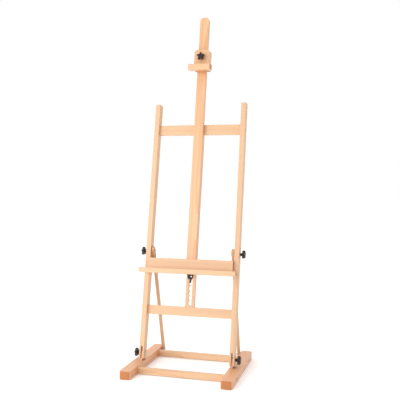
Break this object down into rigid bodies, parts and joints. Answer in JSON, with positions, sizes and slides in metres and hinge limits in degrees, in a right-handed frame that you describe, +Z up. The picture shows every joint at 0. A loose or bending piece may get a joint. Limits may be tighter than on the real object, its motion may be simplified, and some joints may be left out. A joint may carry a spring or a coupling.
{
  "type": "wooden artist easel",
  "caption": "H-frame studio easel of beech: leaning posts on floor runners with slotted rear struts, a ratcheted sliding mast and tray, a canvas holder and star knobs.",
  "frame": {"origin": "on the floor under the middle of the whole easel", "axes": "+Z up, -Y towards the artist, +X to the right as seen from the artist"},
  "size_m": [0.54, 0.5238, 1.7982],
  "materials": {
    "beech": "clear satin lacquer",
    "black_plastic": "moulded, satin",
    "zinc_steel": "zinc plated",
    "latch_steel": "black oxide, oiled",
    "brass_insert": "turned"
  },
  "bodies": {
    "base": {"runner_left": "beech", "runner_right": "beech", "front_base_rail": "beech", "rear_base_rail": "beech", "hinge_tongue_left": "beech", "hinge_tongue_right": "beech", "base_rail_bolts": "zinc_steel", "base_barrel_nuts": "zinc_steel", "tongue_screws": "zinc_steel", "strut_foot_bolts": "zinc_steel", "strut_foot_washers": "zinc_steel"},
    "easel_frame": {"post_left": "beech", "post_right": "beech", "upper_rail": "beech", "lower_rail": "beech", "rack_stile": "beech", "mast_guide_key": "beech", "guide_key_screws": "zinc_steel", "frame_rail_bolts": "zinc_steel", "frame_barrel_nuts": "zinc_steel", "hinge_bolts": "zinc_steel", "clamp_bolts": "zinc_steel", "inner_washers": "zinc_steel", "knob_washers": "zinc_steel"},
    "strut_left": {"strut_left": "beech"},
    "strut_right": {"strut_right": "beech"},
    "carriage": {"mast": "beech", "tray_back_board": "beech", "tray_shelf": "beech", "tray_front_lip": "beech", "guide_block": "beech", "guide_keeper": "beech", "board_screws": "zinc_steel", "shelf_screws": "zinc_steel", "guide_screws": "zinc_steel", "bracket_screws": "zinc_steel", "latch_bracket": "latch_steel", "latch_pin": "latch_steel"},
    "latch": {"latch_pawl": "latch_steel"},
    "canvas_holder": {"holder_block": "beech", "holder_back_plate": "beech", "holder_ledge": "beech", "holder_insert": "brass_insert", "holder_plate_screws": "zinc_steel", "holder_ledge_screws": "zinc_steel"},
    "holder_knob": {"holder_knob": "black_plastic", "holder_knob_stud": "zinc_steel"},
    "hinge_knob_left": {"hinge_knob_left": "black_plastic", "hinge_knob_insert_left": "brass_insert"},
    "hinge_knob_right": {"hinge_knob_right": "black_plastic", "hinge_knob_insert_right": "brass_insert"},
    "clamp_knob_left": {"clamp_knob_left": "black_plastic", "clamp_knob_insert_left": "brass_insert"},
    "clamp_knob_right": {"clamp_knob_right": "black_plastic", "clamp_knob_insert_right": "brass_insert"}
  },
  "joints": [
    {"name": "frame_tilt", "type": "hinge", "parent": "base", "child": "easel_frame", "pos_m": [0, -0.0513, 0.07508], "axis": [-1, 0, 0], "range_deg": [-2, 12]},
    {"name": "carriage_slide", "type": "slide", "parent": "easel_frame", "child": "carriage", "axis": [0, 0.1822, 0.9833], "range_m": [-0.098, 0.441]},
    {"name": "latch_turn", "type": "hinge", "parent": "carriage", "child": "latch", "pos_m": [0.002, 0.01107, 0.4561], "axis": [0, 0.9833, -0.1822], "range_deg": [-8, 24]},
    {"name": "holder_slide", "type": "slide", "parent": "carriage", "child": "canvas_holder", "axis": [0, 0.1822, 0.9833], "range_m": [-0.17, 0.18]},
    {"name": "holder_knob_turn", "type": "hinge", "parent": "canvas_holder", "child": "holder_knob", "pos_m": [0, 0.17589, 1.57581], "axis": [0, -0.9833, 0.1822], "continuous": true},
    {"name": "strut_left_swing", "type": "hinge", "parent": "base", "child": "strut_left", "pos_m": [-0.207, 0.21376, 0.03], "axis": [-1, 0, 0], "range_deg": [-2.11, 10.17]},
    {"name": "hinge_knob_left_turn", "type": "hinge", "parent": "easel_frame", "child": "hinge_knob_left", "pos_m": [-0.243, -0.0513, 0.07508], "axis": [-1, 0, 0], "continuous": true},
    {"name": "clamp_knob_left_turn", "type": "hinge", "parent": "easel_frame", "child": "clamp_knob_left", "pos_m": [-0.243, 0.04072, 0.57163], "axis": [-1, 0, 0], "continuous": true},
    {"name": "strut_right_swing", "type": "hinge", "parent": "base", "child": "strut_right", "pos_m": [0.207, 0.21376, 0.03], "axis": [-1, 0, 0], "range_deg": [-2.11, 10.17]},
    {"name": "hinge_knob_right_turn", "type": "hinge", "parent": "easel_frame", "child": "hinge_knob_right", "pos_m": [0.243, -0.0513, 0.07508], "axis": [1, 0, 0], "continuous": true},
    {"name": "clamp_knob_right_turn", "type": "hinge", "parent": "easel_frame", "child": "clamp_knob_right", "pos_m": [0.243, 0.04072, 0.57163], "axis": [1, 0, 0], "continuous": true}
  ],
  "couplings": [
    {"joint": "strut_left_swing", "follows": "frame_tilt", "ratio": 0.806},
    {"joint": "strut_right_swing", "follows": "frame_tilt", "ratio": 0.806}
  ]
}
